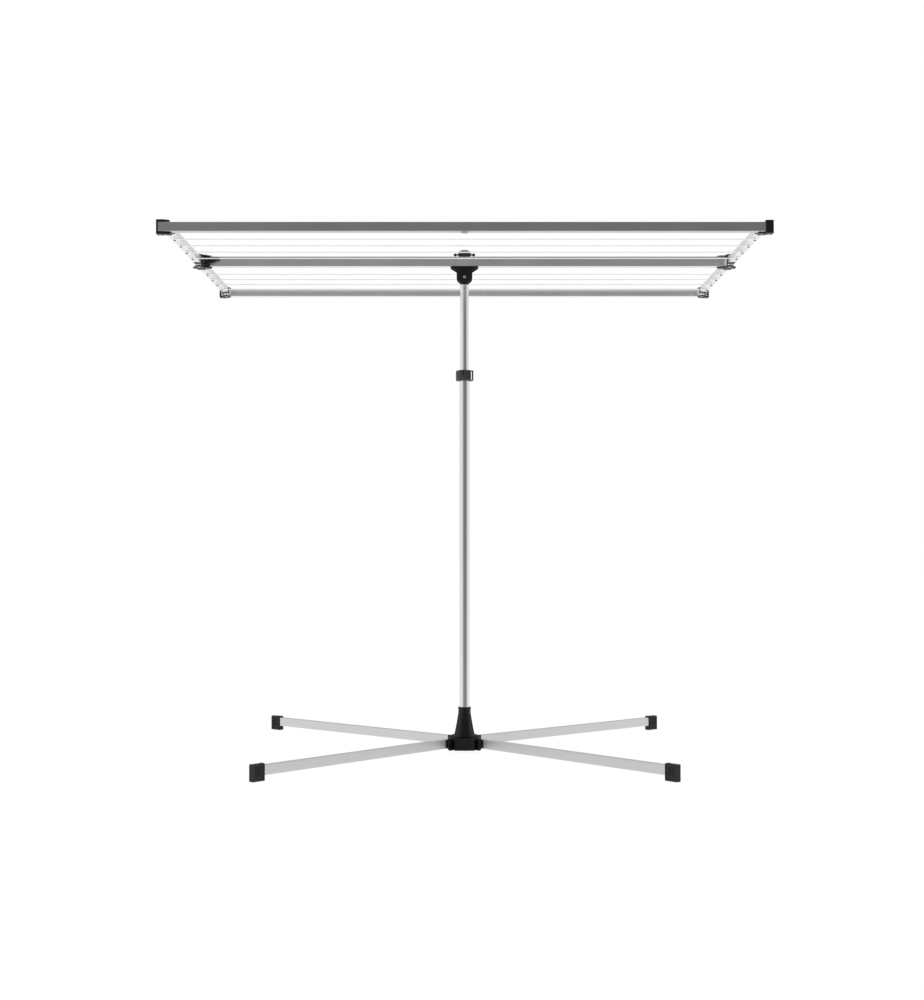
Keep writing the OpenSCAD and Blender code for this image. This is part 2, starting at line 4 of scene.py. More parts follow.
import bmesh
import bpy
from mathutils import Matrix, Vector


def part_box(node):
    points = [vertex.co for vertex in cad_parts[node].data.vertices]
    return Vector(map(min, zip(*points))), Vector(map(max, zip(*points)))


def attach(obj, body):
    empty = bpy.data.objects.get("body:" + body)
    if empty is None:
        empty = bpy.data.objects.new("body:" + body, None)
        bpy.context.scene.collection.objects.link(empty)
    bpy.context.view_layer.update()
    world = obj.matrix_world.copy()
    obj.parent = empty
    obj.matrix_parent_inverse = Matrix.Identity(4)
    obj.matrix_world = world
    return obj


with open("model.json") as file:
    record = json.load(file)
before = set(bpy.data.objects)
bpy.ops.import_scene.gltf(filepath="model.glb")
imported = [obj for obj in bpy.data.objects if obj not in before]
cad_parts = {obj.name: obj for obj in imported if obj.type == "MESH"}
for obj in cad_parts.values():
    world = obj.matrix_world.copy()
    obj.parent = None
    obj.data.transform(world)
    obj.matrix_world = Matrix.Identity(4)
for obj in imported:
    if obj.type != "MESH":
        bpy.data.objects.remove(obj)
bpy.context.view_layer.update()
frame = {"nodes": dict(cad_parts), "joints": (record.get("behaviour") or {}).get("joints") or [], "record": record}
NODES = frame["nodes"]
SLOT_OF = {s["node"]: s["material_slot"] for s in frame["record"]["subparts"]}

MM = 0.001
PIN_ZONE = 0.79  # the wing pins lie further than this from the middle, in metres
# Painted shade and light by depth: metal is darker towards the front and lighter towards the rear.
PAINTED_SHADING_REACH = 0.5  # how far in front of and behind the pole the tone changes, in metres
PAINTED_SHADING_SHARE = 0.85  # how much of the colour the tone sets
CORNERS = ("front_left", "front_right", "rear_left", "rear_right")
WINGS = (("front", -1), ("rear", 1))


# ---------------------------------------------------------------- materials

def set_range(node, start, end, low, high):
    """Makes a Map Range node take start to low and end to high."""
    for socket, number in (("From Min", start), ("From Max", end),
                           ("To Min", low), ("To Max", high)):
        node.inputs[socket].default_value = number


class Recipe:
    """A material's node tree, with short calls for the nodes that every recipe here uses."""

    def __init__(self, name, color, metallic, roughness, **sockets):
        self.material = bpy.data.materials.new(name)
        self.material.use_nodes = True
        self.nodes = self.material.node_tree.nodes
        self.links = self.material.node_tree.links
        self.shader = self.nodes["Principled BSDF"]
        self.shader.inputs["Base Color"].default_value = (*color, 1)
        self.shader.inputs["Metallic"].default_value = metallic
        self.shader.inputs["Roughness"].default_value = roughness
        for socket, value in sockets.items():
            self.shader.inputs[socket.replace("_", " ")].default_value = value
        self.place = self.nodes.new("ShaderNodeTexCoord").outputs["Object"]

    def link(self, output, node, socket):
        self.links.new(output, node.inputs[socket])

    def stretched(self, scale):
        """Object coordinates in metres, scaled by a different amount along each axis."""
        mapping = self.nodes.new("ShaderNodeMapping")
        mapping.inputs["Scale"].default_value = scale
        self.link(self.place, mapping, "Vector")
        return mapping.outputs["Vector"]

    def noise(self, scale, detail=3.0, roughness=0.55, vector=None):
        texture = self.nodes.new("ShaderNodeTexNoise")
        texture.inputs["Scale"].default_value = scale
        texture.inputs["Detail"].default_value = detail
        texture.inputs["Roughness"].default_value = roughness
        self.link(vector or self.place, texture, "Vector")
        return texture.outputs["Fac"]

    def spread(self, value, low, high, start=0.3, end=0.7):
        """Maps a 0 to 1 pattern between two values."""
        remap = self.nodes.new("ShaderNodeMapRange")
        set_range(remap, start, end, low, high)
        self.link(value, remap, "Value")
        return remap.outputs["Result"]

    def tint(self, value, dark, light):
        """Colours a 0 to 1 pattern between two colours."""
        ramp = self.nodes.new("ShaderNodeValToRGB")
        ramp.color_ramp.elements[0].position = 0.32
        ramp.color_ramp.elements[1].position = 0.68
        ramp.color_ramp.elements[0].color = (*dark, 1)
        ramp.color_ramp.elements[1].color = (*light, 1)
        self.link(value, ramp, "Fac")
        return ramp.outputs["Color"]

    def color(self, output):
        self.link(output, self.shader, "Base Color")

    def roughness(self, output):
        self.link(output, self.shader, "Roughness")

    def bump(self, height, strength, distance):
        node = self.nodes.new("ShaderNodeBump")
        node.inputs["Strength"].default_value = strength
        node.inputs["Distance"].default_value = distance
        self.link(height, node, "Height")
        self.link(node.outputs["Normal"], self.shader, "Normal")


def shade(color, factor):
    return tuple(min(1.0, c * factor) for c in color)


def painted_depth_shading(recipe, color, front, middle, rear):
    """Makes the front, middle and rear parts differ in grey, as they do in the photo.

    In the photo that is probably the lighting. It isn't a property of the metal.
    """
    # Painted shade and light: the grey darkens towards the front and lightens towards the rear, set by the
    # position along Y.
    split = recipe.nodes.new("ShaderNodeSeparateXYZ")
    recipe.link(recipe.place, split, "Vector")
    ramp = recipe.nodes.new("ShaderNodeValToRGB")
    ramp.color_ramp.interpolation = "LINEAR"
    ramp.color_ramp.elements[0].position = 0.0
    ramp.color_ramp.elements[0].color = (*shade(color, front), 1)
    ramp.color_ramp.elements[1].position = 1.0
    ramp.color_ramp.elements[1].color = (*shade(color, rear), 1)
    between = ramp.color_ramp.elements.new(0.5)
    between.color = (*shade(color, middle), 1)
    depth = recipe.spread(split.outputs["Y"], 0.0, 1.0, -PAINTED_SHADING_REACH, PAINTED_SHADING_REACH)
    recipe.link(depth, ramp, "Fac")
    old = recipe.shader.inputs["Base Color"].links[0].from_socket
    blend = recipe.nodes.new("ShaderNodeMix")
    blend.data_type = "RGBA"
    blend.inputs["Factor"].default_value = PAINTED_SHADING_SHARE
    recipe.links.new(old, blend.inputs["A"])
    recipe.links.new(ramp.outputs["Color"], blend.inputs["B"])
    recipe.color(blend.outputs["Result"])


def drawn_metal(name, color, roughness, along, wear=1.0, depth=None):
    """Satin anodised aluminium with fine drawing lines along one axis and faint smudges."""
    recipe = Recipe(name, color, 1.0, roughness)
    across_grain, along_grain = 900.0, 4.0
    scale = [across_grain] * 3
    scale["XYZ".index(along)] = along_grain
    streaks = recipe.noise(1.0, detail=4.0, vector=recipe.stretched(scale))
    smudges = recipe.noise(9.0, detail=5.0, roughness=0.62)
    recipe.color(recipe.tint(smudges, shade(color, 1 - 0.05 * wear), shade(color, 1 + 0.03 * wear)))
    recipe.roughness(recipe.spread(smudges, roughness - 0.03 * wear, roughness + 0.05 * wear))
    recipe.bump(streaks, 0.15 * wear, 0.00006)
    # depth paints shade and light: darker in front, lighter behind.
    if depth:
        painted_depth_shading(recipe, color, *depth)
    return recipe.material


def bright_metal(name, color, roughness):
    """Zinc-plated steel: bright, with a fine mottled grain."""
    recipe = Recipe(name, color, 1.0, roughness)
    grain = recipe.noise(700.0, detail=4.0)
    recipe.color(recipe.tint(grain, shade(color, 0.86), shade(color, 1.08)))
    recipe.roughness(recipe.spread(grain, roughness - 0.06, roughness + 0.1))
    recipe.bump(grain, 0.2, 0.00005)
    return recipe.material


def moulded_plastic(name, color, roughness, grain_size, dust, sheen=0.5):
    """Injection-moulded plastic with a fine grain, and a slow drift in its colour and gloss."""
    recipe = Recipe(name, color, 0.0, roughness, Specular_IOR_Level=sheen)
    grain = recipe.noise(1.0 / grain_size, detail=2.0)
    drift = recipe.noise(14.0, detail=6.0, roughness=0.6)
    recipe.color(recipe.tint(drift, shade(color, 1 - dust), shade(color, 1 + dust)))
    recipe.roughness(recipe.spread(drift, roughness - 0.06, roughness + 0.08))
    recipe.bump(grain, 0.35, 0.00012)
    return recipe.material


def coated_cord(name, color):
    """Smooth plastic-coated line: the braid inside shows as small waves along it.

    A faint glow stands for the light that comes through, and brings the lines to the photo's grey.
    """
    # Painted light: a faint white emission lightens the lines all over.
    recipe = Recipe(name, color, 0.0, 0.42, Specular_IOR_Level=0.5,
                    Emission_Color=(1, 1, 1, 1), Emission_Strength=0.1)
    braid = recipe.nodes.new("ShaderNodeTexWave")
    braid.wave_type = "BANDS"
    braid.bands_direction = "DIAGONAL"
    braid.inputs["Scale"].default_value = 190.0
    braid.inputs["Distortion"].default_value = 0.6
    recipe.link(recipe.place, braid, "Vector")
    wear = recipe.noise(30.0, detail=4.0)
    recipe.color(recipe.tint(wear, shade(color, 0.94), shade(color, 1.03)))
    recipe.roughness(recipe.spread(wear, 0.36, 0.52))
    recipe.bump(braid.outputs["Fac"], 0.3, 0.0001)
    return recipe.material


MATERIALS = {
    "black_plastic": moulded_plastic("black_plastic", (0.0095, 0.0095, 0.01), 0.46,
                                     grain_size=0.0009, dust=0.18, sheen=0.3),
    "grey_plastic": moulded_plastic("grey_plastic", (0.05, 0.05, 0.051), 0.5,
                                    grain_size=0.0009, dust=0.12, sheen=0.4),
    "light_plastic": moulded_plastic("light_plastic", (0.32, 0.32, 0.32), 0.34,
                                     grain_size=0.0012, dust=0.04),
    # depth paints shade on the front bar and light on the middle and rear bars.
    "bar_metal": drawn_metal("bar_metal", (0.80, 0.80, 0.81), 0.30, "X",
                             depth=(0.76, 1.15, 1.25)),
    "arm_metal": drawn_metal("arm_metal", (0.95, 0.95, 0.96), 0.38, "Y"),
    # depth paints light on the legs: slightly lighter towards the rear.
    "leg_metal": drawn_metal("leg_metal", (0.60, 0.60, 0.61), 0.34, "Z",
                             depth=(1.0, 1.05, 1.1)),
    "pole_metal": drawn_metal("pole_metal", (0.80, 0.80, 0.81), 0.22, "Z", wear=0.35),
    "pin_steel": bright_metal("pin_steel", (0.58, 0.58, 0.59), 0.28),
    "line_cord": coated_cord("line_cord", (0.96, 0.96, 0.96)),
}


def soften(obj, width, segments=2, angle=35):
    """Rounds an object's sharp edges and shades the rest smoothly."""
    obj.data.shade_smooth()
    bevel = obj.modifiers.new("soft edges", "BEVEL")
    bevel.width = width
    bevel.segments = segments
    bevel.limit_method = "ANGLE"
    bevel.angle_limit = math.radians(angle)
    bevel.harden_normals = True
    bevel.use_clamp_overlap = True


EDGE = {
    "black_plastic": 0.7 * MM,
    "grey_plastic": 0.6 * MM,
    "light_plastic": 0.5 * MM,
    "bar_metal": 0.35 * MM,
    "arm_metal": 0.4 * MM,
    "leg_metal": 0.4 * MM,
    "pole_metal": 0.3 * MM,
    "pin_steel": 0.3 * MM,
    "line_cord": 0.2 * MM,
}

for name, node in NODES.items():
    slot = SLOT_OF[name]
    node.data.materials.clear()
    node.data.materials.append(MATERIALS[slot])
    soften(node, EDGE[slot])


# ---------------------------------------------------------------- shapes for the added pieces

def piece(name, bm, slot, body, edge):
    """Turns a bmesh into a finished piece that moves with a CAD body."""
    bmesh.ops.remove_doubles(bm, verts=bm.verts, dist=1e-6)
    bmesh.ops.recalc_face_normals(bm, faces=bm.faces)
    mesh = bpy.data.meshes.new(name)
    bm.to_mesh(mesh)
    bm.free()
    obj = bpy.data.objects.new(name, mesh)
    bpy.context.scene.collection.objects.link(obj)
    mesh.materials.append(MATERIALS[slot])
    soften(obj, edge)
    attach(obj, body)


def placed(origin, toward):
    """A matrix that takes +Z to a direction and the origin to a place."""
    return Matrix.Translation(origin) @ Vector(toward).to_track_quat("Z", "Y").to_matrix().to_4x4()


def lathe(bm, profile, matrix, steps=32):
    """Turns a profile of (radius, height) points round the matrix's Z axis.

    A radius of 0 closes an end.
    """
    rings = []
    for radius, height in profile:
        if radius == 0:
            rings.append([bm.verts.new(matrix @ Vector((0, 0, height)))])
            continue
        turns = (2 * math.pi * i / steps for i in range(steps))
        ring = [(radius * math.cos(t), radius * math.sin(t), height) for t in turns]
        rings.append([bm.verts.new(matrix @ Vector(point)) for point in ring])
    for a, b in zip(rings, rings[1:]):
        for i in range(steps):
            j = (i + 1) % steps
            corners = [a[i % len(a)], a[j % len(a)], b[j % len(b)], b[i % len(b)]]
            unique = list(dict.fromkeys(corners))
            bm.faces.new(unique)


def sweep(bm, outline, matrix, depth):
    """A solid made of a closed outline of (x, y) points, with depth along the matrix's Z axis."""
    low = [bm.verts.new(matrix @ Vector((x, y, 0))) for x, y in outline]
    high = [bm.verts.new(matrix @ Vector((x, y, depth))) for x, y in outline]
    bm.faces.new(low[::-1])
    bm.faces.new(high)
    for i in range(len(outline)):
        j = (i + 1) % len(outline)
        bm.faces.new((low[i], low[j], high[j], high[i]))


def rib(bm, start, end, up, width, height):
    """A straight moulded rib between two points, narrower at its top and sloped at its ends."""
    start, end, up = Vector(start), Vector(end), Vector(up).normalized()
    along = (end - start).normalized()
    side = along.cross(up)
    foot = [start - side * width / 2, start + side * width / 2,
            end + side * width / 2, end - side * width / 2]
    slope = along * height * 0.8
    top = [start + slope - side * width * 0.3, start + slope + side * width * 0.3,
           end - slope + side * width * 0.3, end - slope - side * width * 0.3]
    low = [bm.verts.new(p - up * 0.2 * MM) for p in foot]
    high = [bm.verts.new(p + up * height) for p in top]
    bm.faces.new(low[::-1])
    bm.faces.new(high)
    for i in range(4):
        j = (i + 1) % 4
        bm.faces.new((low[i], low[j], high[j], high[i]))


def arc(radius, start, end, steps, center=(0, 0)):
    """Points on an arc between two angles in degrees."""
    angles = (math.radians(start + (end - start) * i / steps) for i in range(steps + 1))
    return [(center[0] + radius * math.cos(a), center[1] + radius * math.sin(a)) for a in angles]


def rounded(width, height, radius, steps=5):
    """Outline of a centred rectangle with round corners."""
    x, y = width / 2 - radius, height / 2 - radius
    points = []
    for quarter, center in enumerate(((x, y), (-x, y), (-x, -y), (x, -y))):
        points += arc(radius, 90 * quarter, 90 * quarter + 90, steps, center)
    return points


# ---------------------------------------------------------------- fasteners

def screw_template(radius, height):
    """Mesh of a pan-head screw with a cross recess, seat at the origin and head along +Z."""
    bm = bmesh.new()
    dome = [(radius * math.cos(math.radians(a)), height * (0.25 + 0.75 * math.sin(math.radians(a))))
            for a in (0, 15, 30, 45, 60, 75)]
    lathe(bm, [(0, -0.1 * MM), (radius, -0.1 * MM), *dome, (0, height)], Matrix.Identity(4), 36)
    bmesh.ops.recalc_face_normals(bm, faces=bm.faces)
    mesh = bpy.data.meshes.new("screw head")
    bm.to_mesh(mesh)
    bm.free()
    head = bpy.data.objects.new("screw head", mesh)
    bpy.context.scene.collection.objects.link(head)
    cutters = []
    for turn in (0, 90):
        cut = bmesh.new()
        wide, narrow = radius * 1.15, radius * 0.26
        outline = [(-wide / 2, -narrow / 2), (wide / 2, -narrow / 2),
                   (wide / 2, narrow / 2), (-wide / 2, narrow / 2)]
        floor_of_cut = Matrix.Translation((0, 0, height * 0.45))
        sweep(cut, outline, Matrix.Rotation(math.radians(turn), 4, "Z") @ floor_of_cut, height)
        bmesh.ops.recalc_face_normals(cut, faces=cut.faces)
        cut_mesh = bpy.data.meshes.new("recess")
        cut.to_mesh(cut_mesh)
        cut.free()
        cutter = bpy.data.objects.new("recess", cut_mesh)
        bpy.context.scene.collection.objects.link(cutter)
        cutters.append(cutter)
        hollow = head.modifiers.new("recess", "BOOLEAN")
        hollow.operation = "DIFFERENCE"
        hollow.solver = "EXACT"
        hollow.object = cutter
    bpy.context.view_layer.update()
    depsgraph = bpy.context.evaluated_depsgraph_get()
    result = bpy.data.meshes.new_from_object(head.evaluated_get(depsgraph))
    for obj in (head, *cutters):
        bpy.data.objects.remove(obj)
    return result


def screws(name, body, places, radius=2.8 * MM, height=0.9 * MM):
    """One piece that holds several screw heads; places are (point, direction) pairs."""
    template = screw_template(radius, height)
    bm = bmesh.new()
    for index, (point, toward) in enumerate(places):
        part = template.copy()
        part.transform(placed(point, toward) @ Matrix.Rotation(0.5 + 1.1 * index, 4, "Z"))
        bm.from_mesh(part)
        bpy.data.meshes.remove(part)
    bpy.data.meshes.remove(template)
    piece(name, bm, "pin_steel", body, 0.12 * MM)


def rivets(name, body, places):
    """Blind rivets: a low dome with the pulled stem's dimple in its middle."""
    radius, height = 3.0 * MM, 1.1 * MM
    bm = bmesh.new()
    profile = [(0, -0.1 * MM), (radius, -0.1 * MM), (radius, height * 0.25),
               (radius * 0.86, height * 0.7), (radius * 0.5, height), (radius * 0.36, height),
               (radius * 0.3, height * 0.5), (0, height * 0.5)]
    for point, toward in places:
        lathe(bm, profile, placed(point, toward), 28)
    piece(name, bm, "pin_steel", body, 0.1 * MM)


# ---------------------------------------------------------------- places, read from the frame

JOINTS = {j["name"]: j for j in frame["joints"]}
X, Y, Z = Vector((1, 0, 0)), Vector((0, 1, 0)), Vector((0, 0, 1))


def reach(node, direction, where=lambda p: True):
    """Least and greatest distance along a direction, of a node's points that pass a test."""
    distances = [v.co.dot(direction) for v in NODES[node].data.vertices if where(v.co)]
    return min(distances), max(distances)


def joint_place(name):
    return Vector(JOINTS[name]["pos_m"])


# ---------------------------------------------------------------- stand

def leg_frame(corner):
    """Outward direction, sideways direction and hinge point of a leg."""
    hinge = joint_place(f"leg_{corner}_fold")
    outward = Vector((hinge.x, hinge.y, 0)).normalized()
    return outward, Z.cross(outward), hinge


def foot_details(corner):
    """Grip ribs on both cheeks of a foot and a raised rim round the mouth that holds the leg."""
    outward, aside, _ = leg_frame(corner)
    near = reach(f"foot_{corner}", outward)[0]
    half = reach(f"foot_{corner}", aside)[1]
    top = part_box(f"foot_{corner}")[1].z
    first_grip, grip_pitch = 13 * MM, 6 * MM
    rim_back, rim_width, rim_height = 2.2 * MM, 3.6 * MM, 0.9 * MM
    bm = bmesh.new()
    for side in (-1, 1):
        for step in range(4):
            at = outward * (near + first_grip + step * grip_pitch) + aside * side * half
            rib(bm, at + Z * 14 * MM, at + Z * (top - 7 * MM), aside * side, 2.2 * MM, 0.7 * MM)
        edge = outward * (near + rim_back) + aside * side * half
        rib(bm, edge + Z * 3 * MM, edge + Z * (top - 2 * MM), aside * side, rim_width, rim_height)
    across = outward * (near + rim_back) + Z * top
    to_end = aside * (half - 2 * MM)
    rib(bm, across - to_end, across + to_end, Z, rim_width, rim_height)
    piece(f"foot_grip_{corner}", bm, "black_plastic", f"leg_{corner}", 0.2 * MM)


def leg_details(corner):
    """Rivets that hold the knuckle in the leg, and press-on caps at both ends of the hinge pin."""
    outward, aside, hinge = leg_frame(corner)
    start = reach(f"leg_{corner}", outward)[0]
    half = reach(f"leg_{corner}", aside)[1]
    places = []
    for side in (-1, 1):
        for back in (9 * MM, 19 * MM):
            point = outward * (start + back) + aside * side * half + Z * hinge.z
            places.append((point, aside * side))
    rivets(f"leg_rivets_{corner}", f"leg_{corner}", places)
    cap = [(0, -0.4 * MM), (5.2 * MM, -0.4 * MM), (5.6 * MM, 0.3 * MM), (5.2 * MM, 1.1 * MM),
           (3.4 * MM, 1.5 * MM), (3.0 * MM, 1.1 * MM), (0, 1.2 * MM)]
    pin_near, pin_far = reach("leg_pins", aside, lambda p: (p - hinge).length < 30 * MM)
    bm = bmesh.new()
    for side, level in ((1, pin_far), (-1, pin_near)):
        cheek = abs(level) - 0.5 * MM
        lathe(bm, cap, placed(hinge + aside * side * cheek, aside * side), 28)
    piece(f"pin_caps_{corner}", bm, "pin_steel", "base", 0.1 * MM)


def hub_details():
    """Webs from the cone to the rim, ribs on the front block, a bead round the cone's mouth."""
    cone, rim, level = 33 * MM, 46 * MM, 41 * MM
    rib_side, block_front = 28.4 * MM, 70 * MM
    mouth, top = 18.6 * MM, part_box("hub_cone")[1].z
    bm = bmesh.new()
    for azimuth in (0, 90, 180, 270):
        for spread in (-14, 0, 14):
            a = math.radians(azimuth + spread)
            out = Vector((math.cos(a), math.sin(a), 0))
            rib(bm, out * cone + Z * level, out * rim + Z * level, Z, 2.4 * MM, 2.2 * MM)
    for side in (-1, 1):
        ends = [Vector((side * rib_side, -block_front, z)) for z in (10 * MM, 40 * MM)]
        rib(bm, *ends, -Y, 2.4 * MM, 0.8 * MM)
    bead = [(mouth - 0.4 * MM, top - 6 * MM), (mouth + 0.9 * MM, top - 5 * MM),
            (mouth + 0.9 * MM, top - 1.6 * MM), (mouth - 0.4 * MM, top - 0.6 * MM)]
    lathe(bm, [*bead, bead[0]], Matrix.Identity(4), 64)
    piece("hub_webs", bm, "black_plastic", "base", 0.25 * MM)


for corner in CORNERS:
    foot_details(corner)
    leg_details(corner)
hub_details()


# ---------------------------------------------------------------- pole and head

def collar_details():
    """Finger ridges near the free end of the clamp lever."""
    low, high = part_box("collar_lever")
    face = joint_place("clamp_lever_swing").x + 1.4 * MM
    first, pitch = 5, 2.8
    bm = bmesh.new()
    for step in range(5):
        at = Vector((face, low.y + (first + pitch * step) * MM, 0))
        rib(bm, at + Z * (low.z + 3 * MM), at + Z * (high.z - 3 * MM), X, 1.4 * MM, 0.7 * MM)
    piece("lever_ridges", bm, "grey_plastic", "clamp_lever", 0.15 * MM)


def bracket_details():
    """The tilt bracket's ribs and screws.

    On both cheeks a ring goes round the bolt, and ribs fan out from it.
    """
    pivot = joint_place("rack_tilt")
    low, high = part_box("tilt_bracket")
    saddle = high.z - 5 * MM
    ring = [(9.4 * MM, -0.2 * MM), (12.4 * MM, -0.2 * MM), (12.2 * MM, 1.0 * MM),
            (11.6 * MM, 1.4 * MM), (10.0 * MM, 1.4 * MM), (9.4 * MM, 0.9 * MM)]
    ring_edge, screw_x = 12 * MM, 17 * MM
    slant_low, slant_low_drop = 19.5 * MM, 14.3 * MM
    slant_high, slant_high_drop = 37.5 * MM, 3.0 * MM
    bm = bmesh.new()
    for side in (-1, 1):
        face = Vector((0, side * high.y, 0))
        out = Y * side
        for lean in (-38, -19, 0, 19, 38):
            a = math.radians(lean)
            direction = Vector((math.sin(a), 0, math.cos(a)))
            length = (saddle - pivot.z - 1 * MM) / math.cos(a)
            rib(bm, pivot + face + direction * ring_edge, pivot + face + direction * length, out,
                2.2 * MM, 1.1 * MM)
        rib(bm, Vector((low.x + 1.5 * MM, 0, high.z - 1.5 * MM)) + face,
            Vector((high.x - 1.5 * MM, 0, high.z - 1.5 * MM)) + face, out, 2.2 * MM, 0.9 * MM)
        for hand in (-1, 1):
            rib(bm, Vector((hand * slant_low, 0, high.z - slant_low_drop)) + face,
                Vector((hand * slant_high, 0, high.z - slant_high_drop)) + face, out,
                2.0 * MM, 0.9 * MM)
        lathe(bm, [*ring, ring[0]], placed(pivot + face, out), 48)
    piece("bracket_ribs", bm, "black_plastic", "rack", 0.2 * MM)
    places = [((x * screw_x, 0, saddle), (0, 0, -1)) for x in (-1, 1)]
    screws("bracket_screws", "rack", places, radius=3.4 * MM, height=1.6 * MM)


def knob_details():
    """Grip flutes round the knob's disc, except at its two lobes, and ridges on the lobes."""
    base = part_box("top_knob")[0].z
    radius, flutes, lobe_sine = 20.2 * MM, 24, 0.25
    lobe_x, lobe_z = 27.6 * MM, 6.6 * MM
    bm = bmesh.new()
    for step in range(flutes):
        a = 2 * math.pi * (step + 0.5) / flutes
        out = Vector((math.cos(a), math.sin(a), 0))
        if abs(out.y) < lobe_sine:
            continue
        rib(bm, out * radius + Z * (base + 5.6 * MM), out * radius + Z * (base + 8.6 * MM), out,
            2.2 * MM, 0.8 * MM)
    for side in (-1, 1):
        for step in (-1, 0, 1):
            a = math.radians(32 * step)
            out = Vector((side * math.cos(a), math.sin(a), 0))
            center = Vector((side * lobe_x, 0, base + lobe_z)) + out * 4.5 * MM
            rib(bm, center - Z * 2.6 * MM, center + Z * 2.6 * MM, out, 1.2 * MM, 0.5 * MM)
    piece("knob_grip", bm, "black_plastic", "knob", 0.12 * MM)


collar_details()
bracket_details()
knob_details()


# ---------------------------------------------------------------- rack

def sleeve(bm, matrix, width, height, stations):
    """A tube of rounded rectangular section round a bar of that width and height.

    Each station is a distance along Z and how far the outside stands out there.
    """
    rings = [(rounded(width + 2 * out, height + 2 * out, 1.6 * MM + out), z) for z, out in stations]
    inner = rounded(width, height, 1.6 * MM)
    rings += [(inner, stations[-1][0]), (inner, stations[0][0])]
    loops = [[bm.verts.new(matrix @ Vector((x, y, z))) for x, y in outline] for outline, z in rings]
    for a, b in zip(loops, loops[1:] + loops[:1]):
        for i in range(len(a)):
            j = (i + 1) % len(a)
            bm.faces.new((a[i], a[j], b[j], b[i]))


def arm_details(wing, sign, side):
    """A black plastic end sleeve on each end of a side arm, with blind rivets behind it."""
    arm = f"{wing}_arm_{side}"
    low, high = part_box(arm)
    bottom, top = reach(arm, Z, lambda p: abs(p.x - low.x) < 1e-5)
    middle_x = (low.x + high.x) / 2
    pin_back, sleeve_back, rivet_back = 11 * MM, 15.5 * MM, 46 * MM
    ends = sorted(abs(y) for y in (low.y, high.y))
    inner_pin, outer_pin = ends[0] + pin_back, ends[1] - pin_back
    bm = bmesh.new()
    places = []
    for pin, step in ((inner_pin, 1), (outer_pin, -1)):
        start = Vector((middle_x, sign * (pin + step * sleeve_back), (bottom + top) / 2))
        toward = Y * sign * step
        frame_at = Matrix.Translation(start) @ Matrix((X, Z, toward)).transposed().to_4x4()
        sleeve(bm, frame_at, high.x - low.x, top - bottom,
               [(0, 0.25 * MM), (1.2 * MM, 0.9 * MM), (19 * MM, 0.9 * MM), (24 * MM, 0.2 * MM)])
        for z, up in ((top, 1), (bottom, -1)):
            places.append((Vector((middle_x, sign * (pin + step * rivet_back), z)), Z * up))
    piece(f"{arm}_sleeves", bm, "black_plastic", arm, 0.15 * MM)
    rivets(f"{arm}_rivets", arm, places)


def line_details(wing, number):
    """Tapered ribbed necks where a line leaves its two eyes."""
    node = f"{wing}_line_{number}"
    low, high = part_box(node)
    center = (low + high) / 2
    eye = (high.y - low.y) / 2
    root, shrink = 2.35 * MM, 0.11 * MM
    first, pitch = 1.0, 2.6
    bm = bmesh.new()
    for side in (-1, 1):
        profile = [(0.9 * MM, 0), (2.3 * MM, 0.2 * MM)]
        for step in range(6):
            radius = root - shrink * step
            along = (first + pitch * step) * MM
            groove = radius - 0.35 * MM
            profile += [(radius, along), (radius, along + 1.6 * MM),
                        (groove, along + 1.9 * MM), (groove, along + 2.4 * MM)]
        profile += [(1.55 * MM, 17.5 * MM), (0.9 * MM, 17.6 * MM), profile[0]]
        start = Vector((side * (high.x - 2 * eye + 0.6 * MM), center.y, center.z))
        lathe(bm, profile, placed(start, X * -side), 20)
    piece(f"{node}_necks", bm, "line_cord", node, 0.08 * MM)


def bar_details(wing):
    """Screws through the plates of an outer bar's brackets, and domed ends on its pins."""
    bar = f"{wing}_bar"
    low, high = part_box(bar)
    y = (low.y + high.y) / 2
    places = []
    for end, sx in (("left", -1), ("right", 1)):
        bracket = f"{wing}_bracket_{end}"
        bracket_low, bracket_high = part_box(bracket)
        outer = bracket_high.x if sx > 0 else bracket_low.x
        for z, up in ((bracket_high.z, 1), (bracket_low.z, -1)):
            for back in (10 * MM,) if bracket == "front_bracket_right" else (9 * MM, 23 * MM):
                places.append((Vector((outer - sx * back, y, z)), Z * up))
    screws(f"{wing}_bracket_screws", bar, places)
    pin_dome(f"{wing}_pins", bar)


def pin_dome(node, body):
    """Peened domes on the heads of a node's upright pins."""
    profile = [(0, -0.1 * MM), (3.6 * MM, -0.1 * MM), (3.3 * MM, 0.2 * MM), (2.2 * MM, 0.4 * MM),
               (1.2 * MM, 0.5 * MM), (0, 0.5 * MM)]
    spots = {(round(v.co.x / abs(v.co.x)), round(v.co.y / abs(v.co.y)))
             for v in NODES[node].data.vertices if abs(v.co.x) > PIN_ZONE}
    bm = bmesh.new()
    for sx, sy in sorted(spots):
        here = [v.co for v in NODES[node].data.vertices
                if v.co.x * sx > PIN_ZONE and v.co.y * sy > 0]
        x = (min(p.x for p in here) + max(p.x for p in here)) / 2
        y = (min(p.y for p in here) + max(p.y for p in here)) / 2
        for z, up in ((max(p.z for p in here), 1), (min(p.z for p in here), -1)):
            lathe(bm, profile, placed(Vector((x, y, z)), Z * up), 32)
    piece(f"{node}_domes", bm, "pin_steel", body, 0.1 * MM)


